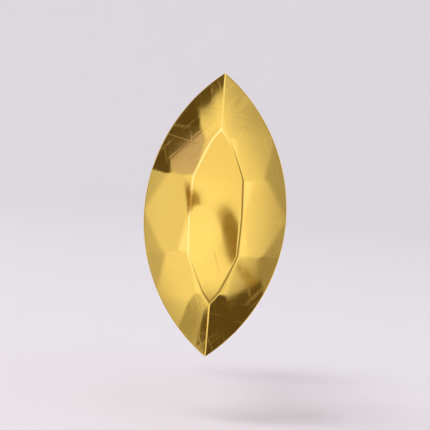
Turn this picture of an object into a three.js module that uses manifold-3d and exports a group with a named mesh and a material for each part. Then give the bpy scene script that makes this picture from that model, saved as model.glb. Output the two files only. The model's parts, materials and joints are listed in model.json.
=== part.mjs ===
// A flat-back nose stud: a faceted gold marquise head with a press pin, and the hollow post that takes it.
// Millimetres. The origin is the middle of the head's flat back, -Y points the way the table faces, +Y runs
// along the post to its disc, and +Z runs along the marquise.
import * as THREE from 'three';
import { mergeVertices } from 'three/addons/utils/BufferGeometryUtils.js';
import Module from 'manifold-3d';

const wasm = await Module();
wasm.setup();

// Head: a pointed oval with a flat table, a faceted crown, a plain girdle and a bevelled back
const HEAD_LENGTH = 6.0;
const HEAD_WIDTH = 3.0;
const TABLE_LENGTH = 3.2;
const TABLE_WIDTH = 1.1;
const CROWN_HEIGHT = 0.65;
const GIRDLE_HEIGHT = 0.2;
const BACK_BEVEL_HEIGHT = 0.3;
const BACK_BEVEL_WIDTH = 0.45;

// The table's corners from belly to tip, as shares of its half width and half length
const TABLE_CORNERS = [
  { across: 1, along: 0 },
  { across: 0.84, along: 0.54 },
  { across: 0, along: 1 },
];

// Where the crown facets meet between table and girdle: heights as shares of the crown's, and how far
// towards the tip the second meet lies from the middle of the shoulder facet, as a share of the half length
const FACET_MEET = { bellyHeight: 0.6, tipHeight: 0.7, tipReach: 0.235 };

// Post: a tube that the pin is pressed into, closed by a flat disc
const POST_DIAMETER = 1.0;
const TUBE_WALL = 0.17;
const WEARABLE_LENGTH = 6.5;
const DISC_DIAMETER = 3.0;
const DISC_THICKNESS = 0.5;
const BORE_FLOOR = 2.0;
const ROOT_FILLET = 0.2;
const RIM_ROUND = 0.15;
const MOUTH_CHAMFER = 0.05;

// Fit of the post in the head's back, and of the pin in the post
const SEAT_DEPTH = 0.15;
const SEAT_CLEARANCE = 0.05;
const SEAT_GAP = 0.03;
const PIN_CLEARANCE = 0.05;
const PIN_END_CLEARANCE = 0.4;
const PIN_CHAMFER = 0.1;

// Fineness of the curved faces
const NARROW_FACET_STEPS = 6;
const ROUND_SIDES = 40;
const FILLET_STEPS = 4;

const crownBase = BACK_BEVEL_HEIGHT + GIRDLE_HEIGHT;
const tableHeight = crownBase + CROWN_HEIGHT;
const bellyMeetHeight = crownBase + FACET_MEET.bellyHeight * CROWN_HEIGHT;
const postRadius = POST_DIAMETER / 2;
const boreRadius = postRadius - TUBE_WALL;
const pinRadius = boreRadius - PIN_CLEARANCE;
const discRadius = DISC_DIAMETER / 2;
const postStart = SEAT_GAP - SEAT_DEPTH;
const discBack = WEARABLE_LENGTH + DISC_THICKNESS;
const boreEnd = discBack - BORE_FLOOR;
const pinEnd = boreEnd - PIN_END_CLEARANCE;

const gold = () => new THREE.MeshStandardMaterial({ color: 0xf2c75c, metalness: 1, roughness: 0.12 });

// A pointed oval of two equal arcs, or the oval that lies inset inside of it
function pointedOval(length, width, inset = 0) {
  const outerRadius = (length ** 2 + width ** 2) / (4 * width);
  const centre = outerRadius - width / 2;
  const radius = outerRadius - inset;
  return { centre, radius, tipAngle: Math.acos(centre / radius) };
}

// A point of the oval's upper right arc: share 0 is the belly, share 1 the tip, height is above the flat back
function ovalPoint(oval, share, height) {
  const angle = share * oval.tipAngle;
  return new THREE.Vector3(
    oval.radius * Math.cos(angle) - oval.centre,
    -height,
    oval.radius * Math.sin(angle),
  );
}

// The oval's direction at one of its points, towards the tip
function tangentAt(oval, point) {
  return new THREE.Vector3(-point.z, 0, point.x + oval.centre).normalize();
}

// The plane of a main facet: it holds the table's corner and the girdle's tangent at the girdle point
function mainPlane(corner, girdlePoint, oval) {
  const along = girdlePoint.clone().add(tangentAt(oval, girdlePoint));
  return new THREE.Plane().setFromCoplanarPoints(girdlePoint, along, corner);
}

// Where two planes meet at a height above the flat back
function meetOfPlanes(first, second, height) {
  const level = new THREE.Plane(new THREE.Vector3(0, 1, 0), height);
  const { normal: a, constant: p } = first;
  const { normal: b, constant: q } = second;
  const { normal: c, constant: r } = level;
  const point = new THREE.Vector3().crossVectors(b, c).multiplyScalar(-p);
  point.addScaledVector(new THREE.Vector3().crossVectors(c, a), -q);
  point.addScaledVector(new THREE.Vector3().crossVectors(a, b), -r);
  return point.divideScalar(a.dot(new THREE.Vector3().crossVectors(b, c)));
}

// The point moved along Y on to a facet's plane
function ontoPlane(point, { normal, constant }) {
  const y = -(constant + normal.x * point.x + normal.z * point.z) / normal.y;
  return new THREE.Vector3(point.x, y, point.z);
}

// The facets of the head's quarter at +X and +Z, each anticlockwise from outside
function quarterFacets() {
  const girdle = pointedOval(HEAD_LENGTH, HEAD_WIDTH);
  const back = pointedOval(HEAD_LENGTH, HEAD_WIDTH, BACK_BEVEL_WIDTH);

  const [tableBelly, tableShoulder, tableTip] = TABLE_CORNERS.map(({ across, along }) => (
    new THREE.Vector3(across * TABLE_WIDTH / 2, -tableHeight, along * TABLE_LENGTH / 2)
  ));
  const girdlePoints = [0, 1, 2, 3, 4].map((i) => ovalPoint(girdle, i / 4, crownBase));
  const [girdleBelly, , girdleShoulder, , girdleTip] = girdlePoints;

  const bellyMain = mainPlane(tableBelly, girdleBelly, girdle);
  const shoulderMain = mainPlane(tableShoulder, girdleShoulder, girdle);
  const bellyMeet = meetOfPlanes(bellyMain, shoulderMain, bellyMeetHeight);
  const tipMeet = girdleShoulder.clone().lerp(tableShoulder, FACET_MEET.tipHeight);
  tipMeet.addScaledVector(tangentAt(girdle, girdleShoulder), FACET_MEET.tipReach * HEAD_LENGTH / 2);

  const facets = [
    [new THREE.Vector3(0, -tableHeight, 0), tableBelly, tableShoulder, tableTip],
    [tableBelly, girdleBelly, bellyMeet],
    [tableBelly, bellyMeet, tableShoulder],
    [tableShoulder, bellyMeet, girdleShoulder, tipMeet],
    [tableShoulder, tipMeet, tableTip],
    [tableTip, tipMeet, girdleTip],
  ];
  // Four narrow facets run from a meet down to the girdle, whose wall and back bevel follow in short steps
  [bellyMeet, bellyMeet, tipMeet, tipMeet].forEach((meet, i) => {
    const plane = new THREE.Plane().setFromCoplanarPoints(meet, girdlePoints[i], girdlePoints[i + 1]);
    const steps = [...Array(NARROW_FACET_STEPS + 1).keys()];
    const shares = steps.map((step) => (i + step / NARROW_FACET_STEPS) / 4);
    const rim = shares.map((share) => ontoPlane(ovalPoint(girdle, share, crownBase), plane));
    const low = shares.map((share) => ovalPoint(girdle, share, BACK_BEVEL_HEIGHT));
    const flat = shares.map((share) => ovalPoint(back, share, 0));
    facets.push([meet, ...rim]);
    for (let step = 0; step < NARROW_FACET_STEPS; step += 1) {
      facets.push([low[step], low[step + 1], rim[step + 1], rim[step]]);
      facets.push([flat[step], flat[step + 1], low[step + 1], low[step]]);
      facets.push([new THREE.Vector3(), flat[step + 1], flat[step]]);
    }
  });
  return facets;
}

// The whole head's surface: the quarter and its mirror images, each facet as a fan of triangles
function headGeometry() {
  const positions = [];
  for (const [sideX, sideZ] of [[1, 1], [-1, 1], [-1, -1], [1, -1]]) {
    for (const facet of quarterFacets()) {
      const corners = facet.map((p) => new THREE.Vector3(sideX * p.x, p.y, sideZ * p.z));
      const ordered = sideX * sideZ > 0 ? corners : corners.reverse();
      for (let i = 1; i + 1 < ordered.length; i += 1) {
        positions.push(...ordered[0].toArray(), ...ordered[i].toArray(), ...ordered[i + 1].toArray());
      }
    }
  }
  const geometry = new THREE.BufferGeometry();
  geometry.setAttribute('position', new THREE.Float32BufferAttribute(positions, 3));
  return geometry;
}

// A body turned round the Y axis from [radius, y] pairs that start and end on the axis
function turned(profile) {
  return new THREE.LatheGeometry(profile.map(([r, y]) => new THREE.Vector2(r, y)), ROUND_SIDES);
}

// The pairs of a quarter circle round [r, y], from one angle to another
function arc(r, y, radius, from, to) {
  return Array.from({ length: FILLET_STEPS + 1 }, (_, i) => {
    const angle = THREE.MathUtils.degToRad(from + (to - from) * (i / FILLET_STEPS));
    return [r + radius * Math.cos(angle), y + radius * Math.sin(angle)];
  });
}

// A solid from a closed geometry, with its vertices merged and its empty triangles dropped
function solidOf(geometry) {
  geometry.deleteAttribute('normal');
  geometry.deleteAttribute('uv');
  const merged = mergeVertices(geometry);
  const index = merged.index.array;
  const triangles = [];
  for (let i = 0; i < index.length; i += 3) {
    const [a, b, c] = [index[i], index[i + 1], index[i + 2]];
    if (a !== b && b !== c && c !== a) {
      triangles.push(a, b, c);
    }
  }
  return new wasm.Manifold(new wasm.Mesh({
    numProp: 3,
    vertProperties: merged.getAttribute('position').array,
    triVerts: Uint32Array.from(triangles),
  }));
}

// A flat-shaded mesh from a solid
function meshOf(name, solid) {
  const { vertProperties, triVerts } = solid.getMesh();
  const shared = new THREE.BufferGeometry();
  shared.setAttribute('position', new THREE.BufferAttribute(Float32Array.from(vertProperties), 3));
  shared.setIndex(new THREE.BufferAttribute(Uint32Array.from(triVerts), 1));
  const geometry = shared.toNonIndexed();
  geometry.computeVertexNormals();
  const mesh = new THREE.Mesh(geometry, gold());
  mesh.name = name;
  return mesh;
}

// The faceted head, with the round seat for the post sunk in its back and the pin soldered into the seat
function marquiseTop() {
  const seatRadius = postRadius + SEAT_CLEARANCE;
  const chamfer = Math.min(PIN_CHAMFER, pinRadius / 2);
  const sunk = -SEAT_DEPTH - BACK_BEVEL_HEIGHT / 2;
  const seat = turned([
    [0, -SEAT_DEPTH],
    [seatRadius, -SEAT_DEPTH],
    [seatRadius, SEAT_DEPTH],
    [0, SEAT_DEPTH],
  ]);
  const pin = turned([
    [0, sunk],
    [pinRadius, sunk],
    [pinRadius, pinEnd - chamfer],
    [pinRadius - chamfer, pinEnd],
    [0, pinEnd],
  ]);
  return meshOf('marquise_top', solidOf(headGeometry()).subtract(solidOf(seat)).add(solidOf(pin)));
}

// The tube with its blind bore, a fillet at its root and a disc with a rounded rim
function flatBackPost() {
  const overhang = discRadius - postRadius;
  const fillet = Math.min(ROOT_FILLET, overhang / 3);
  const round = Math.min(RIM_ROUND, DISC_THICKNESS / 2.5, overhang / 3);
  const chamfer = Math.min(MOUTH_CHAMFER, TUBE_WALL / 3);
  const post = turned([
    [0, boreEnd],
    [boreRadius, boreEnd],
    [boreRadius, postStart + chamfer],
    [boreRadius + chamfer, postStart],
    [postRadius - chamfer, postStart],
    [postRadius, postStart + chamfer],
    ...arc(postRadius + fillet, WEARABLE_LENGTH - fillet, fillet, 180, 90),
    ...arc(discRadius - round, WEARABLE_LENGTH + round, round, -90, 0),
    ...arc(discRadius - round, discBack - round, round, 0, 90),
    [0, discBack],
  ]);
  return meshOf('flat_back_post', solidOf(post));
}

const noseStud = new THREE.Group();
noseStud.add(marquiseTop(), flatBackPost());

export default noseStud;
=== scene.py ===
import json
import math

import bmesh
import bpy
import numpy as np
from mathutils import Matrix, Vector


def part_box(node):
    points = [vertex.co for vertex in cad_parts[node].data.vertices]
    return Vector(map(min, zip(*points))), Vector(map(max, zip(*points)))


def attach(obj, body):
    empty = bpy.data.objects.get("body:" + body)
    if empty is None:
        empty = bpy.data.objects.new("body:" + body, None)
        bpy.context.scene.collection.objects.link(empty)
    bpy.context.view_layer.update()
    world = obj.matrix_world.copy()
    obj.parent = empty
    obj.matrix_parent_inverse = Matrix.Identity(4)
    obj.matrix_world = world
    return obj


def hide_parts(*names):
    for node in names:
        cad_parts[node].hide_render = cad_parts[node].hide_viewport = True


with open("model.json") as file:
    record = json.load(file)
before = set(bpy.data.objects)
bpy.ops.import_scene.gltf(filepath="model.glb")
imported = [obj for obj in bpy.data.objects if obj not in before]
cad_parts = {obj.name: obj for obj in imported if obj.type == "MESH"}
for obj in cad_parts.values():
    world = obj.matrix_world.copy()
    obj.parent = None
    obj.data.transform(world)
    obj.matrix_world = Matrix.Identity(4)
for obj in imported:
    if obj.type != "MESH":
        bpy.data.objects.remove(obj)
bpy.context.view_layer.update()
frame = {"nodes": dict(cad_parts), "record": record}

MM = 0.001

# Reading the CAD model
NEAR = 0.01 * MM                 # points whose heights or radii differ by less belong to the same rim
CROWN_LEAN = 0.1                 # a face of the crown looks out along -Y by at least this share
SIDE_LEAN = 0.01                 # a facet that leans to the left or right does so by at least this share
SAME_FACET = 1.0                 # triangles turned less than this many degrees from each other are one facet
LEAST_FACET = 0.1 * MM ** 2      # anything smaller is a sliver and not a facet

# Head: how lapping and polishing soften the CAD's flats and edges
FACET_DOME_RADIUS = 16 * MM      # lapped facets are very slightly domed
FACET_SHARPNESS = 700 / MM       # the higher, the crisper the shallow edges between neighbouring facets
EDGE_SHARPNESS = 300 / MM        # the same for the edges of the table, the ridges at the tips and the girdle
TIP_SHARPNESS = 90 / MM          # the two tips of the outline are rounded a little more
EDGE_WEAR = 0.02 * MM            # how far from an edge its wear reaches
SEAT_OVERCUT = 0.1 * MM          # how far the seat's cutter stands out of the back
PIN_CHAMFER = 0.1 * MM
PIN_ROOT = 0.05 * MM             # how deep the pin is sunk into the floor of the seat
SHARP_ANGLE = 60                 # in degrees: only the rims of the seat and the pin are shaded as sharp

# Head: how finely it is meshed
GIRDLE_HALF_HEIGHT = 0.1 * MM    # the rays that find the surface start from the middle of the girdle
SECTION_HALF_HEIGHT = 0.5 * MM   # and spread as if each cross-section were an oval of this half height
RAY_MARGIN = 1.2                 # they are followed for this share of the half length or half width
HALVINGS = 24                    # steps in which the place where a ray leaves the head is closed in on
TIP_SHARE = 0.9995               # the first and last sections lie just inside the tips
HEAD_SECTIONS = 330
CROWN_ROWS = 230                 # points of each section in front of the girdle
BACK_ROWS = 64                   # and on the girdle and behind it
ROUND_SIDES = 64                 # seat and pin
SLIVER = 0.0003 * MM             # points closer than this are one point

# Post: the corners left by the lathe and its polishing, and how finely it is meshed
DISC_DOME_RADIUS = 40 * MM       # the back of the disc is very slightly domed too
DISC_RINGS = (0.8, 0.4)          # shares of the disc's radius where the dome's profile has a point
BORE_END_ROUND = 0.05 * MM
MOUTH_ROUND = 0.04 * MM
ROOT_FILLET = 0.2 * MM
RIM_ROUND = 0.15 * MM
DOME_ROUND = 2.0 * MM            # softens the points of the dome's profile
ROUND_STEPS = 6
SUPPORT = 0.02 * MM              # how far from a round the points lie that hold it
LATHE_SIDES = 128
LATHE_SEAM = 0.0005 * MM         # points closer than this are joined where the turned body closes

# Gold: its colours, and the real sizes of its marks
YELLOW_GOLD = "FCD56C"
DEEP_GOLD = "F4C858"
POST_GOLD = "F6CF74"
MIDDLE_OF_NOISE = {"From Min": 0.3, "From Max": 0.7}    # where most of its levels lie
SWELL = 1.1 * MM                 # waves left by buffing
SWELL_HEIGHT = 0.02 * MM
HEAD_HAZE = 0.6 * MM             # patches polished a little less
HAIRLINES = [                    # turns are in radians, about the Y axis
    {"turn": 0.3, "spacing": 0.34 * MM},
    {"turn": -0.75, "spacing": 0.45 * MM},
    {"turn": 1.35, "spacing": 0.5 * MM},
]
HAIR_STRETCH = (1, 0.1, 0.02)    # what a noise keeps of its changes along X, Y and Z, to draw lines
HAIR_WIDTH = 0.022               # the part of its range, on either side of the middle, that makes a line
HAIR_DEPTH = 0.001 * MM
HAIR_ROUGHNESS = 0.14            # what a hairline adds to the roughness
WIPED_PATCH = 0.8 * MM           # patches where wiping has left hairlines
RUBBED_PATCH = 0.12 * MM         # worn edges are uneven at this scale
NICK_DEPTH = 0.0008 * MM
WORN_ROUGHNESS = 0.06            # what a worn edge adds to the roughness
RING_FEED = 0.04 * MM            # turning rings
RING_DEPTH = 0.0016 * MM
RING_SWELL = 0.22 * MM           # slower waves of the same tool
RING_SWELL_DEPTH = 0.0025 * MM
POST_HAZE = 0.9 * MM

# Studio: a round paper sweep under and behind the stud, in a pale room
PAPER = "EBE8EB"
ROOM = "F6F6F8"
ROOM_STRENGTH = 0.9
FLOOR_DROP = 4.4 * MM
SWEEP_RADIUS = 260 * MM
SWEEP_BEND = 140 * MM
SWEEP_TOP = 420 * MM
SWEEP_SIDES = 96
SWEEP_STEPS = 24

# Studio: what the gold mirrors. Each lamp lights a patch of the tent. In degrees, the table gives the azimuth
# and polar angle of its middle, how far it spreads around and along from there, and how wide its soft rim is
TENT_RADIUS = 140 * MM
TENT_COLUMNS = 180
TENT_ROWS = 90
TENT_GLOW = (0.56, 0.55, 0.58)
TENT_LAMPS = [
    # the big window in front, that the table and the star facets mirror
    {"azimuth": 0, "polar": 0, "around": 180, "along": 61, "soft": 9, "glow": (1.04, 1.02, 1.0)},
    # its bright and its shaded side, that only the rounded edge of the table mirrors
    {"azimuth": 135, "polar": 34, "around": 75, "along": 14, "soft": 6, "glow": (1.4, 1.38, 2.3)},
    {"azimuth": -45, "polar": 34, "around": 75, "along": 14, "soft": 6, "glow": (0.36, 0.34, 0.30)},
    # what the table mirrors: paler below, deeper above
    {"azimuth": -150, "polar": 9, "around": 40, "along": 2, "soft": 9, "glow": (1.12, 1.11, 1.10)},
    {"azimuth": 75, "polar": 13, "around": 50, "along": 2, "soft": 9, "glow": (0.95, 0.91, 0.84)},
    # lamps to the right, to the left and low on the left, for the main facets
    {"azimuth": 0, "polar": 65, "around": 32, "along": 2, "soft": 9, "glow": (0.98, 0.96, 0.95)},
    {"azimuth": 180, "polar": 69, "around": 14, "along": 1, "soft": 13, "glow": (0.88, 0.86, 0.88)},
    {"azimuth": -150, "polar": 69, "around": 8, "along": 2, "soft": 9, "glow": (0.97, 0.95, 0.95)},
    # a little more or less light for each of the star facets
    {"azimuth": 148, "polar": 56, "around": 8, "along": 3, "soft": 5, "glow": (0.86, 0.82, 0.84)},
    {"azimuth": 31, "polar": 58, "around": 8, "along": 3, "soft": 5, "glow": (1.12, 1.10, 1.20)},
    {"azimuth": 4, "polar": 61, "around": 4, "along": 2.5, "soft": 3, "glow": (1.16, 1.14, 1.35)},
    {"azimuth": -9, "polar": 61.5, "around": 4, "along": 2.5, "soft": 3, "glow": (1.10, 1.06, 1.10)},
    {"azimuth": -35, "polar": 60, "around": 5, "along": 2.5, "soft": 3, "glow": (0.84, 0.80, 0.76)},
    {"azimuth": -144, "polar": 58, "around": 8, "along": 3, "soft": 5, "glow": (1.15, 1.13, 1.20)},
    {"azimuth": -171, "polar": 59.5, "around": 4, "along": 2.5, "soft": 3, "glow": (1.16, 1.14, 1.35)},
    # dim gaps between the lamps, for the narrow facets and the ends of the main ones
    {"azimuth": 0, "polar": 86, "around": 60, "along": 4, "soft": 7, "glow": (0.42, 0.41, 0.42)},
    {"azimuth": -24, "polar": 80, "around": 8, "along": 3, "soft": 8, "glow": (0.34, 0.31, 0.28)},
    {"azimuth": -129, "polar": 73, "around": 4, "along": 3, "soft": 7, "glow": (0.40, 0.38, 0.34)},
    {"azimuth": -121, "polar": 66, "around": 1, "along": 3, "soft": 4, "glow": (0.24, 0.20, 0.16)},
    {"azimuth": 152, "polar": 69, "around": 2.5, "along": 5, "soft": 4, "glow": (0.62, 0.55, 0.80)},
    # round the back: a dim ring, a broad window behind the disc with a darker and a lighter pane
    {"azimuth": 0, "polar": 103, "around": 180, "along": 5, "soft": 9, "glow": (0.30, 0.29, 0.30)},
    {"azimuth": 0, "polar": 180, "around": 180, "along": 56, "soft": 14, "glow": (0.88, 0.87, 0.90)},
    {"azimuth": 110, "polar": 140, "around": 30, "along": 8, "soft": 16, "glow": (0.46, 0.45, 0.48)},
    {"azimuth": -60, "polar": 146, "around": 30, "along": 8, "soft": 18, "glow": (1.08, 1.06, 1.25)},
    # lamps above and below, for the post and the rims
    {"azimuth": 88, "polar": 90, "around": 20, "along": 20, "soft": 12, "glow": (1.15, 1.13, 1.5)},
    {"azimuth": -95, "polar": 90, "around": 20, "along": 20, "soft": 14, "glow": (0.78, 0.76, 0.78)},
]

# Studio: brown and dark cards in front of the tent. Their corners are azimuths and polar angles in degrees
CARD_DISTANCE = 90 * MM
DARK_CARD = (0.105, 0.078, 0.045)
CARDS = [
    # the dark strip at the upper left, the dark lower right end, and a narrow strip left of the low ridge
    {"name": "flag_upper_left", "glow": DARK_CARD, "corners": [
        (165.5, 95), (165.5, 74.6), (157, 74), (155, 71), (149.6, 69), (143, 69), (137, 67.9), (128, 66.9),
        (118, 66), (118, 95),
    ]},
    {"name": "flag_lower_right", "glow": DARK_CARD, "corners": [
        (-62, 95), (-62, 61), (-49, 61.5), (-42, 67), (-34.5, 71), (-30, 75), (-27, 78), (-27, 95),
    ]},
    {"name": "flag_low_left", "glow": (0.13, 0.095, 0.05), "corners": [
        (-126, 64.5), (-125.8, 66), (-124, 69), (-122.5, 72.2), (-117, 72.2), (-117, 62), (-123, 62.5),
    ]},
    # the streak across the table and its end, on the facet beside it
    {"name": "streak_end", "glow": (0.38, 0.285, 0.13), "corners": [
        (-27.6, 69.2), (-28.4, 69), (-29.4, 71.4), (-30.6, 74.4), (-30.6, 76.5), (-28.8, 76), (-28.5, 72.6),
    ]},
    {"name": "streak", "glow": (0.27, 0.185, 0.06), "corners": [
        (15, 2.2), (-14, 4.6), (-38, 8.6), (-54, 13), (-66.5, 12.2), (-66, 7.6), (-62, 4), (-50, 1.6),
    ]},
    # the spot at the table's left edge: its parts on the star facet, on the edge and on the table
    {"name": "spot_star", "glow": (0.30, 0.20, 0.085), "corners": [
        (182.4, 58.6), (180.6, 55.6), (176.2, 55.6), (174, 58.6), (175.6, 62), (180.6, 62),
    ]},
    {"name": "spot_edge", "glow": (0.44, 0.32, 0.14), "corners": [
        (-176, 6.6), (181.6, 56), (175.4, 56), (158, 6.6),
    ]},
    {"name": "spot_table", "glow": (0.34, 0.23, 0.09), "corners": [
        (-168, 6.6), (170, 6.8), (146, 5.8), (138, 3.2), (178, 2),
    ]},
]

# Camera
LENS_MM = 150
CLIP_START = 1 * MM
CLIP_END = 5000 * MM
HEAD_SHARE_OF_FRAME = 0.66
CAMERA_AZIMUTH = -1.0
CAMERA_ELEVATION = 2.0
CAMERA_ROLL = 4.1


def linear(hex_colour):
    """The scene-linear RGBA of an sRGB hex colour."""
    shares = [int(hex_colour[i:i + 2], 16) / 255 for i in (0, 2, 4)]
    return tuple(c / 12.92 if c <= 0.04045 else ((c + 0.055) / 1.055) ** 2.4 for c in shares) + (1.0,)


def add(tree, kind, inputs=None, **settings):
    """A new node with its settings and inputs: values, sockets, or nodes, which give their first output."""
    node = tree.nodes.new(kind)
    for name, value in settings.items():
        setattr(node, name, value)
    for key, value in (inputs or {}).items():
        if isinstance(value, bpy.types.Node):
            value = value.outputs[0]
        if isinstance(value, bpy.types.NodeSocket):
            tree.links.new(value, node.inputs[key])
        else:
            node.inputs[key].default_value = value
    return node


# Materials


def empty_material(name):
    """A new material, and its node tree with nothing in it."""
    material = bpy.data.materials.new(name)
    material.use_nodes = True
    material.node_tree.nodes.clear()
    return material, material.node_tree


# 14 carat yellow gold, lapped flat by flat on a wheel and then buffed. To the eye, each facet is a clear
# mirror with a breath of waviness and a few hair-fine lines from wiping, and wear has rubbed its edges a
# little duller. Real hairlines are a few thousandths of a millimetre wide. These are several times as wide,
# so that they show.
def lapped_yellow_gold():
    """The head's finish."""
    material, tree = empty_material("lapped_yellow_gold")
    place = add(tree, "ShaderNodeTexCoord").outputs["Object"]
    swell = add(tree, "ShaderNodeTexNoise", {"Vector": place, "Scale": 1 / SWELL, "Detail": 1.0})
    depth_of_tint = add(tree, "ShaderNodeMapRange", {
        "Value": swell, **MIDDLE_OF_NOISE, "To Min": 0.0, "To Max": 0.22,
    })
    tint = add(tree, "ShaderNodeMix", {
        "Factor": depth_of_tint, "A": linear(YELLOW_GOLD), "B": linear(DEEP_GOLD),
    }, data_type="RGBA")

    # Hairlines: a line wherever a drawn-out noise passes its middle, in patches and in three directions
    hairs = 0.0
    for hairline in HAIRLINES:
        turned_place = add(tree, "ShaderNodeMapping", {
            "Vector": place, "Rotation": (0.0, hairline["turn"], 0.0),
        })
        drawn_out = add(tree, "ShaderNodeMapping", {"Vector": turned_place, "Scale": HAIR_STRETCH})
        level = add(tree, "ShaderNodeTexNoise", {
            "Vector": drawn_out, "Scale": 1 / hairline["spacing"], "Detail": 1.0,
        })
        off = add(tree, "ShaderNodeMath", {0: level, 1: 0.5}, operation="SUBTRACT")
        off = add(tree, "ShaderNodeMath", {0: off}, operation="ABSOLUTE")
        line = add(tree, "ShaderNodeMapRange", {
            "Value": off, "From Min": 0.0, "From Max": HAIR_WIDTH, "To Min": 1.0, "To Max": 0.0,
        })
        patch = add(tree, "ShaderNodeTexNoise", {
            "Vector": turned_place, "Scale": 1 / WIPED_PATCH, "Detail": 1.0,
        })
        patch = add(tree, "ShaderNodeMapRange", {
            "Value": patch, "From Min": 0.45, "From Max": 0.62, "To Min": 0.0, "To Max": 1.0,
        })
        line = add(tree, "ShaderNodeMath", {0: line, 1: patch}, operation="MULTIPLY")
        hairs = add(tree, "ShaderNodeMath", {0: line, 1: hairs}, operation="MAXIMUM")

    # Wear: strongest on the edges, and uneven along them
    edge = add(tree, "ShaderNodeAttribute", attribute_name="edge").outputs["Fac"]
    rubbed = add(tree, "ShaderNodeTexNoise", {"Vector": place, "Scale": 1 / RUBBED_PATCH, "Detail": 2.0})
    rubbed = add(tree, "ShaderNodeMapRange", {
        "Value": rubbed, "From Min": 0.35, "From Max": 0.62, "To Min": 0.25, "To Max": 1.0,
    })
    worn = add(tree, "ShaderNodeMath", {0: edge, 1: rubbed}, operation="MULTIPLY")

    # Shine and relief
    haze = add(tree, "ShaderNodeTexNoise", {"Vector": place, "Scale": 1 / HEAD_HAZE, "Detail": 3.0})
    roughness = add(tree, "ShaderNodeMapRange", {
        "Value": haze, "From Min": 0.3, "From Max": 0.75, "To Min": 0.055, "To Max": 0.12,
    })
    for mark, added in ((hairs, HAIR_ROUGHNESS), (worn, WORN_ROUGHNESS)):
        roughness = add(tree, "ShaderNodeMath", {0: mark, 1: added, 2: roughness}, operation="MULTIPLY_ADD")

    relief = add(tree, "ShaderNodeBump", {"Height": swell, "Strength": 0.25, "Distance": SWELL_HEIGHT})
    relief = add(tree, "ShaderNodeBump", {
        "Height": worn, "Strength": 0.35, "Distance": NICK_DEPTH, "Normal": relief,
    }, invert=True)
    relief = add(tree, "ShaderNodeBump", {
        "Height": hairs, "Strength": 0.3, "Distance": HAIR_DEPTH, "Normal": relief,
    }, invert=True)
    surface = add(tree, "ShaderNodeBsdfPrincipled", {
        "Base Color": tint.outputs["Result"], "Metallic": 1.0, "Roughness": roughness, "Normal": relief,
    })
    add(tree, "ShaderNodeOutputMaterial", {"Surface": surface})
    return material


# 14 carat yellow gold, turned on a lathe and polished. To the eye it is a softer mirror than the head, with
# fine rings round the post and on the disc, and its tone is slightly uneven. Real rings lie 0.02 mm apart or
# less. These are drawn coarser, so that they show.
def turned_yellow_gold():
    """The post's finish."""
    material, tree = empty_material("turned_yellow_gold")
    place = add(tree, "ShaderNodeTexCoord").outputs["Object"]
    across = add(tree, "ShaderNodeVectorMath", {0: place, 1: (1, 0, 1)}, operation="MULTIPLY")
    radius = add(tree, "ShaderNodeVectorMath", {0: across}, operation="LENGTH").outputs["Value"]
    along = add(tree, "ShaderNodeSeparateXYZ", {0: place}).outputs[1]
    ring_at = add(tree, "ShaderNodeCombineXYZ", {0: radius, 1: along})
    fine = add(tree, "ShaderNodeTexNoise", {"Vector": ring_at, "Scale": 1 / RING_FEED, "Detail": 1.0})
    broad = add(tree, "ShaderNodeTexNoise", {"Vector": ring_at, "Scale": 1 / RING_SWELL, "Detail": 1.0})
    haze = add(tree, "ShaderNodeTexNoise", {"Vector": place, "Scale": 1 / POST_HAZE, "Detail": 3.0})
    depth_of_tint = add(tree, "ShaderNodeMapRange", {
        "Value": haze, **MIDDLE_OF_NOISE, "To Min": 0.0, "To Max": 1.0,
    })
    tint = add(tree, "ShaderNodeMix", {
        "Factor": depth_of_tint, "A": linear(POST_GOLD), "B": linear(DEEP_GOLD),
    }, data_type="RGBA")
    roughness = add(tree, "ShaderNodeMapRange", {
        "Value": haze, **MIDDLE_OF_NOISE, "To Min": 0.09, "To Max": 0.16,
    })
    relief = add(tree, "ShaderNodeBump", {"Height": broad, "Strength": 0.5, "Distance": RING_SWELL_DEPTH})
    relief = add(tree, "ShaderNodeBump", {
        "Height": fine, "Strength": 0.5, "Distance": RING_DEPTH, "Normal": relief,
    })
    surface = add(tree, "ShaderNodeBsdfPrincipled", {
        "Base Color": tint.outputs["Result"], "Metallic": 1.0, "Roughness": roughness, "Normal": relief,
    })
    add(tree, "ShaderNodeOutputMaterial", {"Surface": surface})
    return material


# Uncoated background paper, rolled smooth. To the eye it is pale, even and all but free of gloss.
def studio_paper():
    """The sweep's finish."""
    material, tree = empty_material("studio_paper")
    surface = add(tree, "ShaderNodeBsdfPrincipled", {
        "Base Color": linear(PAPER), "Roughness": 0.9, "Specular IOR Level": 0.1,
    })
    add(tree, "ShaderNodeOutputMaterial", {"Surface": surface})
    return material


# Thin white cloth lit from behind, or plain card lit from in front. To the eye both glow and have no gloss.
def glowing(name, glow=None):
    """The finish of the tent or of a card: one even glow, or the one that is kept on its mesh."""
    material, tree = empty_material(name)
    if glow is None:
        colour = add(tree, "ShaderNodeAttribute", attribute_name="glow").outputs["Color"]
    else:
        colour = glow + (1.0,)
    light = add(tree, "ShaderNodeEmission", {"Color": colour, "Strength": 1.0})
    add(tree, "ShaderNodeOutputMaterial", {"Surface": light})
    material.cycles.emission_sampling = "NONE"
    return material


# Meshes


def mesh_object(name, vertices, faces, material=None):
    """A new object whose mesh has these vertices and faces."""
    mesh = bpy.data.meshes.new(name)
    mesh.from_pydata(vertices, [], faces)
    mesh.update()
    if material:
        mesh.materials.append(material)
    made = bpy.data.objects.new(name, mesh)
    bpy.context.scene.collection.objects.link(made)
    return made


def plain_mesh(made):
    """Bakes an object's modifiers into its mesh and takes them off."""
    bpy.context.view_layer.update()
    evaluated = made.evaluated_get(bpy.context.evaluated_depsgraph_get())
    baked = bpy.data.meshes.new_from_object(evaluated)
    made.modifiers.clear()
    made.data = baked
    return made


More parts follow.
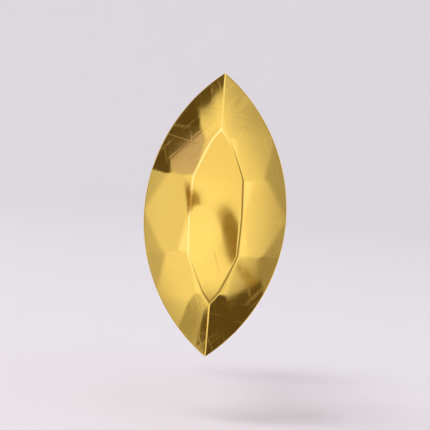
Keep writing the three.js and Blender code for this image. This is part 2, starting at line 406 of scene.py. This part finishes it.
def bands(rings, sides):
    """The faces between rings of points. They face out where a ring turns right-handed about the way on."""
    faces = []
    for ring in range(rings - 1):
        first = ring * sides
        for side in range(sides):
            following = (side + 1) % sides
            faces.append((first + side, first + following, first + sides + following, first + sides + side))
    return faces


def closed_bands(rings, sides):
    """The same faces, and one across each end."""
    last = (rings - 1) * sides
    ends = [tuple(reversed(range(sides))), tuple(range(last, last + sides))]
    return bands(rings, sides) + ends


# What the CAD model says of the stud's sizes


def cad_points(node):
    """A CAD node's vertices as rows of x, y, z, and how far each lies from the Y axis."""
    points = np.array([vertex.co for vertex in frame["nodes"][node].data.vertices])
    return points, np.hypot(points[:, 0], points[:, 2])


def crown_facets():
    """The unit normal and the middle of each flat facet of the head's crown, the table included."""
    faces = [face for face in frame["nodes"]["marquise_top"].data.polygons if face.normal.y < -CROWN_LEAN]
    areas = np.array([face.area for face in faces])
    ways = np.array([face.normal for face in faces])
    places = np.array([face.center for face in faces])
    left = np.ones(len(faces), dtype=bool)
    normals = []
    middles = []
    while left.any():
        largest = np.argmax(np.where(left, areas, 0.0))
        facet = left & (ways @ ways[largest] > math.cos(math.radians(SAME_FACET)))
        facet[largest] = True
        left &= ~facet
        if areas[facet].sum() > LEAST_FACET:
            normal = areas[facet] @ ways[facet]
            normals.append(normal / np.linalg.norm(normal))
            middles.append(areas[facet] @ places[facet] / areas[facet].sum())
    return np.array(normals), np.array(middles)


piercing = next(mount for mount in frame["record"]["mounts"] if mount["name"] == "piercing")
POST_RADIUS = piercing["dims"]["r_mm"] * MM
DISC_FRONT = piercing["dims"]["length_mm"] * MM
post_low, post_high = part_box("flat_back_post")
post_points, post_radii = cad_points("flat_back_post")
along_bore = (post_points[:, 1] > 0) & (post_points[:, 1] < DISC_FRONT)
in_bore = along_bore & (post_radii < POST_RADIUS - NEAR)
BORE_RADIUS = post_radii[in_bore].max()
BORE_END = post_points[in_bore, 1].max()

head_points, head_radii = cad_points("marquise_top")
HALF_LENGTH = head_points[:, 2].max()
HALF_WIDTH = head_points[:, 0].max()
OUTLINE_RADIUS = (HALF_LENGTH ** 2 + HALF_WIDTH ** 2) / (2 * HALF_WIDTH)
OUTLINE_CENTRE = OUTLINE_RADIUS - HALF_WIDTH
BEVEL_TOP = head_points[np.abs(head_points[:, 0]) > HALF_WIDTH - NEAR, 1].max()
BACK_HALF_WIDTH = head_points[np.abs(head_points[:, 1]) < NEAR, 0].max()
PIN_END = head_points[:, 1].max()
PIN_RADIUS = head_radii[head_points[:, 1] > PIN_END / 2].max()
behind_girdle = head_points[:, 1] > BEVEL_TOP + NEAR
SEAT_FLOOR = head_points[behind_girdle & (head_radii < PIN_RADIUS + NEAR), 1].min()
SEAT_RADIUS = head_radii[behind_girdle & (head_points[:, 1] < SEAT_FLOOR + NEAR)].max()


# The post


def lathe_tree():
    """Geometry nodes that turn a row of profile points round the Y axis into a closed body."""
    tree = bpy.data.node_groups.new("lathe", "GeometryNodeTree")
    tree.interface.new_socket("Profile", in_out="INPUT", socket_type="NodeSocketGeometry")
    tree.interface.new_socket("Sides", in_out="INPUT", socket_type="NodeSocketInt")
    tree.interface.new_socket("Seam", in_out="INPUT", socket_type="NodeSocketFloat")
    tree.interface.new_socket("Finish", in_out="INPUT", socket_type="NodeSocketMaterial")
    tree.interface.new_socket("Body", in_out="OUTPUT", socket_type="NodeSocketGeometry")
    given = add(tree, "NodeGroupInput").outputs

    # A grid with a row for each point of the profile, and a column for each side and one more to close on
    profile = add(tree, "GeometryNodeAttributeDomainSize", {"Geometry": given["Profile"]}, component="MESH")
    rows = profile.outputs["Point Count"]
    columns = add(tree, "ShaderNodeMath", {0: given["Sides"], 1: 1.0}, operation="ADD")
    sheet = add(tree, "GeometryNodeMeshGrid", {"Vertices X": columns, "Vertices Y": rows})
    index = add(tree, "GeometryNodeInputIndex")
    column = add(tree, "ShaderNodeMath", {0: index, 1: rows}, operation="DIVIDE")
    column = add(tree, "ShaderNodeMath", {0: column}, operation="FLOOR")
    row = add(tree, "ShaderNodeMath", {0: index, 1: rows}, operation="FLOORED_MODULO")

    # Each point takes its radius and its place along Y from the profile, and its turn from its column
    point = add(tree, "GeometryNodeSampleIndex", {
        "Geometry": given["Profile"], "Value": add(tree, "GeometryNodeInputPosition"), "Index": row,
    }, data_type="FLOAT_VECTOR")
    radius, along, _ = add(tree, "ShaderNodeSeparateXYZ", {0: point}).outputs
    turn = add(tree, "ShaderNodeMath", {0: column, 1: given["Sides"]}, operation="DIVIDE")
    turn = add(tree, "ShaderNodeMath", {0: turn, 1: math.tau}, operation="MULTIPLY")
    cosine = add(tree, "ShaderNodeMath", {0: turn}, operation="COSINE")
    sine = add(tree, "ShaderNodeMath", {0: turn}, operation="SINE")
    x = add(tree, "ShaderNodeMath", {0: radius, 1: cosine}, operation="MULTIPLY")
    z = add(tree, "ShaderNodeMath", {0: radius, 1: sine}, operation="MULTIPLY")
    place = add(tree, "ShaderNodeCombineXYZ", {0: x, 1: along, 2: z})
    bent = add(tree, "GeometryNodeSetPosition", {"Geometry": sheet, "Position": place})

    closed = add(tree, "GeometryNodeMergeByDistance", {"Geometry": bent, "Distance": given["Seam"]})
    outward = add(tree, "GeometryNodeFlipFaces", {"Mesh": closed})
    smooth = add(tree, "GeometryNodeSetShadeSmooth", {"Geometry": outward})
    real = add(tree, "GeometryNodeRealizeInstances", {"Geometry": smooth})
    finished = add(tree, "GeometryNodeSetMaterial", {"Geometry": real, "Material": given["Finish"]})
    add(tree, "NodeGroupOutput", {"Body": finished})
    return tree


def turned(name, profile, material):
    """A closed body turned round the Y axis from profile points of radius and place along Y."""
    body = mesh_object(name, [(radius, along, 0.0) for radius, along in profile], [])
    modifier = body.modifiers.new("lathe", "NODES")
    modifier.node_group = lathe_tree()
    sockets = {item.name: item.identifier for item in modifier.node_group.interface.items_tree}
    modifier[sockets["Sides"]] = LATHE_SIDES
    modifier[sockets["Seam"]] = LATHE_SEAM
    modifier[sockets["Finish"]] = material
    return plain_mesh(body)


def rounded(corners):
    """Profile points from a table of corners, each rounded and then held by a point on either side."""
    points = [(corners[0]["radius"], corners[0]["along"])]
    for before, corner, after in zip(corners, corners[1:], corners[2:]):
        here = Vector((corner["radius"], corner["along"]))
        back = (Vector((before["radius"], before["along"])) - here).normalized()
        ahead = (Vector((after["radius"], after["along"])) - here).normalized()
        half = back.angle(ahead) / 2
        reach = corner["round"] / math.tan(half)
        centre = here + (back + ahead).normalized() * (corner["round"] / math.sin(half))
        start = here + back * reach - centre
        end = here + ahead * reach - centre
        points.append(tuple(here + back * (reach + SUPPORT)))
        for step in range(ROUND_STEPS + 1):
            swept = start.lerp(end, step / ROUND_STEPS)
            points.append(tuple(centre + swept.normalized() * corner["round"]))
        points.append(tuple(here + ahead * (reach + SUPPORT)))
    points.append((corners[-1]["radius"], corners[-1]["along"]))
    return points


def flat_back_post(material):
    """The tube with its blind bore, filleted into its flat disc, whose back is very slightly domed."""
    rim = post_high.x
    sag = rim ** 2 / (2 * DISC_DOME_RADIUS)
    profile = rounded([
        {"radius": 0.0, "along": BORE_END},
        {"radius": BORE_RADIUS, "along": BORE_END, "round": BORE_END_ROUND},
        {"radius": BORE_RADIUS, "along": post_low.y, "round": MOUTH_ROUND},
        {"radius": POST_RADIUS, "along": post_low.y, "round": MOUTH_ROUND},
        {"radius": POST_RADIUS, "along": DISC_FRONT, "round": ROOT_FILLET},
        {"radius": rim, "along": DISC_FRONT, "round": RIM_ROUND},
        {"radius": rim, "along": post_high.y - sag, "round": RIM_ROUND},
        *({"radius": rim * share, "along": post_high.y - sag * share ** 2, "round": DOME_ROUND}
          for share in DISC_RINGS),
        {"radius": 0.0, "along": post_high.y},
    ])
    return turned("flat_back_post_turned", profile, material)


# The head


def softened(distances, sharpness):
    """The greatest of several distances, rounded off where two of them meet."""
    scaled = np.column_stack(distances) * sharpness
    highest = scaled.max(axis=1)
    return (highest + np.log(np.exp(scaled - highest[:, None]).sum(axis=1))) / sharpness


def outside_faces(points, normals, middles):
    """How far points lie outside each facet of the crown, and outside the outline, the bevel and the back."""
    centres = middles - normals * FACET_DOME_RADIUS
    crown = np.linalg.norm(points[:, None, :] - centres[None], axis=2) - FACET_DOME_RADIUS
    sides = [
        np.hypot(points[:, 0] + side * OUTLINE_CENTRE, points[:, 2]) - OUTLINE_RADIUS for side in (1, -1)
    ]
    outline = softened(sides, TIP_SHARPNESS)
    slope = np.array([-BEVEL_TOP, HALF_WIDTH - BACK_HALF_WIDTH])
    slope = slope / np.linalg.norm(slope)
    bevel = slope[0] * outline + slope[1] * (points[:, 1] - BEVEL_TOP)
    return crown, [outline, bevel, points[:, 1]]


def outside_head(points, normals, middles):
    """How far points lie outside the head, whose left facets, right facets, table and rim meet softly."""
    crown, others = outside_faces(points, normals, middles)
    leans_left = normals[:, 0] < -SIDE_LEAN
    leans_right = normals[:, 0] > SIDE_LEAN
    left = softened(crown[:, leans_left].T, FACET_SHARPNESS)
    right = softened(crown[:, leans_right].T, FACET_SHARPNESS)
    table = crown[:, ~(leans_left | leans_right)].T
    return softened([left, right, *table, *others], EDGE_SHARPNESS)


def surface_reach(starts, directions, furthest, facets):
    """How far each ray runs before it leaves the head."""
    near = np.zeros(len(starts))
    far = np.full(len(starts), furthest)
    for _ in range(HALVINGS):
        half_way = (near + far) / 2
        beyond = outside_head(starts + directions * half_way[:, None], *facets) > 0
        far = np.where(beyond, half_way, far)
        near = np.where(beyond, near, half_way)
    return near


def polished_body(name, facets, material):
    """The head without seat and pin: cross-sections along Z, pushed out to its domed and softened faces."""
    girdle_middle = BEVEL_TOP - GIRDLE_HALF_HEIGHT
    rim = math.atan2(GIRDLE_HALF_HEIGHT, SECTION_HALF_HEIGHT)
    crown = np.linspace(-math.pi + rim, -rim, CROWN_ROWS + 1)[:-1]
    back = np.linspace(-rim, math.pi + rim, BACK_ROWS, endpoint=False)
    turns = np.concatenate([crown, back])
    rows = len(turns)

    middle = np.array([[0.0, girdle_middle, 0.0]])
    to_tip = np.array([[0.0, 0.0, 1.0]])
    tip = surface_reach(middle, to_tip, HALF_LENGTH * RAY_MARGIN, facets)[0]
    evenly = np.linspace(-math.pi / 2, math.pi / 2, HEAD_SECTIONS + 2)[1:-1]
    vertices = []
    for z in tip * TIP_SHARE * np.sin(evenly):
        half_width = max(math.sqrt(OUTLINE_RADIUS ** 2 - z ** 2) - OUTLINE_CENTRE, 0.0)
        spread = np.column_stack([
            half_width * np.cos(turns), SECTION_HALF_HEIGHT * np.sin(turns), np.zeros(rows),
        ])
        spread /= np.linalg.norm(spread, axis=1)[:, None]
        starts = np.tile([0.0, girdle_middle, z], (rows, 1))
        reach = surface_reach(starts, spread, HALF_WIDTH * RAY_MARGIN, facets)
        vertices.extend((starts + spread * reach[:, None]).tolist())
    return mesh_object(name, vertices, closed_bands(HEAD_SECTIONS, rows), material)


def round_bar(name, rings, material):
    """A closed round bar through rings of radius and place along Y, whose points turn from +Z to +X."""
    turns = [math.tau * side / ROUND_SIDES for side in range(ROUND_SIDES)]
    vertices = [
        (radius * math.sin(turn), along, radius * math.cos(turn))
        for radius, along in rings
        for turn in turns
    ]
    return mesh_object(name, vertices, closed_bands(len(rings), ROUND_SIDES), material)


def clean(mesh):
    """Merges points that all but touch, drops the slivers between them and shades the rest smooth."""
    work = bmesh.new()
    work.from_mesh(mesh)
    bmesh.ops.remove_doubles(work, verts=work.verts, dist=SLIVER)
    bmesh.ops.dissolve_degenerate(work, dist=SLIVER, edges=work.edges)
    for face in work.faces:
        face.smooth = True
    work.to_mesh(mesh)
    work.free()
    mesh.set_sharp_from_angle(angle=math.radians(SHARP_ANGLE))


def mark_edges(mesh, normals, middles):
    """Keeps on the head's mesh how near each point lies to an edge, from 1 on the edge to 0 away from it."""
    points = np.array([vertex.co for vertex in mesh.vertices])
    crown, others = outside_faces(points, normals, middles)
    levels = np.column_stack([crown, *others])

    # On an edge, a point's two highest levels are equal. A step away from it, they differ by that step times
    # the difference between the two faces' normals, which is taken as 1 where one of them isn't a facet.
    highest = np.argsort(levels, axis=1)[:, -2:]
    gap = np.diff(np.take_along_axis(levels, highest, axis=1), axis=1)[:, 0]
    apart = np.ones(len(points))
    facets_meet = (highest < len(normals)).all(axis=1)
    pairs = highest[facets_meet]
    apart[facets_meet] = np.linalg.norm(normals[pairs[:, 0]] - normals[pairs[:, 1]], axis=1)
    near = np.exp(-(gap / apart / EDGE_WEAR) ** 2)
    in_seat = (points[:, 1] > BEVEL_TOP) & (np.hypot(points[:, 0], points[:, 2]) < SEAT_RADIUS + NEAR)
    near[in_seat] = 0.0
    mesh.attributes.new("edge", "FLOAT", "POINT").data.foreach_set("value", near)


def marquise_head(material):
    """The faceted head, with the post's seat cut into its back and the pin joined to the seat's floor."""
    facets = crown_facets()
    head = polished_body("marquise_head_polished", facets, material)
    seat = round_bar("seat", [(SEAT_RADIUS, SEAT_FLOOR), (SEAT_RADIUS, SEAT_OVERCUT)], material)
    pin = round_bar("pin", [
        (PIN_RADIUS, SEAT_FLOOR - PIN_ROOT),
        (PIN_RADIUS, PIN_END - PIN_CHAMFER),
        (PIN_RADIUS - PIN_CHAMFER, PIN_END),
    ], material)
    for bar, operation in ((seat, "DIFFERENCE"), (pin, "UNION")):
        cut = head.modifiers.new(bar.name, "BOOLEAN")
        cut.operation = operation
        cut.solver = "MANIFOLD"
        cut.object = bar
    plain_mesh(head)
    for bar in (seat, pin):
        bpy.data.objects.remove(bar)
    clean(head.data)
    mark_edges(head.data, *facets)
    return head


post = flat_back_post(turned_yellow_gold())
head = marquise_head(lapped_yellow_gold())

for piece, node, slot in ((head, "marquise_top", "polished_gold"), (post, "flat_back_post", "post_gold")):
    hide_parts(node)
    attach(piece, "root")


# The studio


def studio_sweep():
    """A round paper sweep: a flat floor that curves up into a wall on every side."""
    floor_edge = SWEEP_RADIUS - SWEEP_BEND
    profile = [(0.0, -FLOOR_DROP), (floor_edge, -FLOOR_DROP)]
    for step in range(1, SWEEP_STEPS + 1):
        angle = math.pi / 2 * step / SWEEP_STEPS
        profile.append((
            floor_edge + SWEEP_BEND * math.sin(angle), -FLOOR_DROP + SWEEP_BEND * (1 - math.cos(angle)),
        ))
    profile.append((SWEEP_RADIUS, SWEEP_TOP))
    turns = [math.tau * side / SWEEP_SIDES for side in range(SWEEP_SIDES)]
    vertices = [
        (radius * math.cos(turn), radius * math.sin(turn), height)
        for radius, height in profile
        for turn in turns
    ]
    sweep = mesh_object("paper_sweep", vertices, bands(len(profile), SWEEP_SIDES), studio_paper())
    for face in sweep.data.polygons:
        face.use_smooth = True
    sweep.visible_glossy = False


def toward(azimuth, polar):
    """The unit vector at an angle from the way the table faces, turned by an azimuth from +X towards +Z."""
    return Vector((
        math.sin(math.radians(polar)) * math.cos(math.radians(azimuth)),
        -math.cos(math.radians(polar)),
        math.sin(math.radians(polar)) * math.sin(math.radians(azimuth)),
    ))


def mirrored_only(made):
    """Keeps the tent or a card out of sight: it lights nothing else, and shows only in the polished gold."""
    made.visible_camera = False
    made.visible_diffuse = False
    made.visible_shadow = False
    made.visible_transmission = False


def light_tent():
    """A cloth tent round the stud, lit from outside and brighter where a lamp stands."""
    directions = [
        toward(360 * column / TENT_COLUMNS, 180 * row / TENT_ROWS)
        for row in range(TENT_ROWS + 1)
        for column in range(TENT_COLUMNS)
    ]
    rays = np.array(directions)
    polar = np.degrees(np.arccos(np.clip(-rays[:, 1], -1, 1)))
    azimuth = np.degrees(np.arctan2(rays[:, 2], rays[:, 0]))
    glow = np.tile(TENT_GLOW, (len(directions), 1))
    for lamp in TENT_LAMPS:
        turn = np.abs((azimuth - lamp["azimuth"] + 180) % 360 - 180)
        aside = np.maximum(turn - lamp["around"], 0) * np.sin(np.radians(polar))
        beyond = np.maximum(np.abs(polar - lamp["polar"]) - lamp["along"], 0)
        fade = np.clip(1 - np.hypot(aside, beyond) / lamp["soft"], 0, 1)
        cover = (fade * fade * (3 - 2 * fade))[:, None]    # eased at both ends, so that no rim shows
        glow = glow * (1 - cover) + np.array(lamp["glow"]) * cover
    vertices = [direction * TENT_RADIUS for direction in directions]
    tent = mesh_object("light_tent", vertices, bands(TENT_ROWS + 1, TENT_COLUMNS), glowing("lit_tent_cloth"))
    attribute = tent.data.attributes.new("glow", "FLOAT_COLOR", "POINT")
    attribute.data.foreach_set("color", np.column_stack([glow, np.ones(len(glow))]).ravel())
    mirrored_only(tent)


def card(name, glow, corners):
    """A card cut to shape and hung in front of the tent."""
    points = [toward(azimuth, polar) * CARD_DISTANCE for azimuth, polar in corners]
    mirrored_only(mesh_object(name, points, [tuple(range(len(points)))], glowing(name, glow)))


def pale_room():
    """The room round the studio, which lights the paper evenly."""
    world = bpy.data.worlds.new("studio")
    world.use_nodes = True
    background = world.node_tree.nodes["Background"]
    background.inputs["Color"].default_value = linear(ROOM)
    background.inputs["Strength"].default_value = ROOM_STRENGTH
    bpy.context.scene.world = world


def softbox(name, azimuth, polar, size, distance, power):
    """A square area light that faces the stud. It lights the paper and gives the stud its soft shadow."""
    light = bpy.data.lights.new(name, "AREA")
    light.size = size
    light.energy = power
    made = bpy.data.objects.new(name, light)
    made.location = toward(azimuth, polar) * distance
    made.rotation_euler = (-made.location).to_track_quat("-Z", "Y").to_euler()
    made.visible_camera = False
    made.visible_glossy = False
    bpy.context.scene.collection.objects.link(made)


def photo_camera():
    """The photograph's square-on view of the head, rolled so that its upper tip leans right."""
    data = bpy.data.cameras.new("camera")
    data.lens = LENS_MM
    data.clip_start = CLIP_START
    data.clip_end = CLIP_END
    made = bpy.data.objects.new("camera", data)
    half_view = math.atan(data.sensor_width / 2 / data.lens)
    distance = HALF_LENGTH / HEAD_SHARE_OF_FRAME / math.tan(half_view)
    azimuth = math.radians(CAMERA_AZIMUTH)
    elevation = math.radians(CAMERA_ELEVATION)
    roll = math.radians(CAMERA_ROLL)
    back = Vector((
        math.sin(azimuth) * math.cos(elevation),
        -math.cos(azimuth) * math.cos(elevation),
        math.sin(elevation),
    ))
    level_right = Vector((math.cos(azimuth), math.sin(azimuth), 0.0))
    level_up = back.cross(level_right)
    right = level_right * math.cos(roll) + level_up * math.sin(roll)
    up = back.cross(right)
    place = Vector((0.0, BEVEL_TOP, 0.0)) + back * distance
    made.matrix_world = Matrix([(right[i], up[i], back[i], place[i]) for i in range(3)] + [(0, 0, 0, 1)])
    bpy.context.scene.collection.objects.link(made)
    bpy.context.scene.camera = made


studio_sweep()
light_tent()
for row in CARDS:
    card(**row)
pale_room()
softbox("top_left", azimuth=120, polar=70, size=160 * MM, distance=300 * MM, power=0.35)
photo_camera()
bpy.context.scene.view_settings.view_transform = "Standard"
